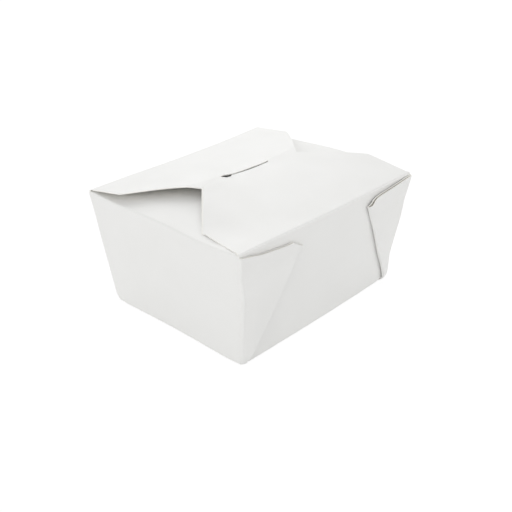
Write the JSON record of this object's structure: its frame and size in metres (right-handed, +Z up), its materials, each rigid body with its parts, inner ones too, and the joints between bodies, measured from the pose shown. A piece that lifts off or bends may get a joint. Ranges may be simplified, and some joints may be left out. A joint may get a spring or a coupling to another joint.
{
  "type": "takeout food box",
  "caption": "Folded paperboard takeout food box with flared walls, folded web corners and a tuck-in flap lid that locks with a tab and slot.",
  "frame": {"origin": "middle of the underside of the base panel", "axes": "+Z up, +X along the long walls, the flap that opens first is hinged on the -Y wall"},
  "size_m": [0.127, 0.1082, 0.0699],
  "materials": {
    "board": "satin coated paperboard"
  },
  "bodies": {
    "carton": {"carton": "board"},
    "front_flap": {"front_flap": "board"}
  },
  "joints": [
    {"name": "front_flap_hinge", "type": "hinge", "parent": "carton", "child": "front_flap", "pos_m": [0, -0.05266, 0.06274], "axis": [1, 0, 0], "range_deg": [0, 180]}
  ]
}
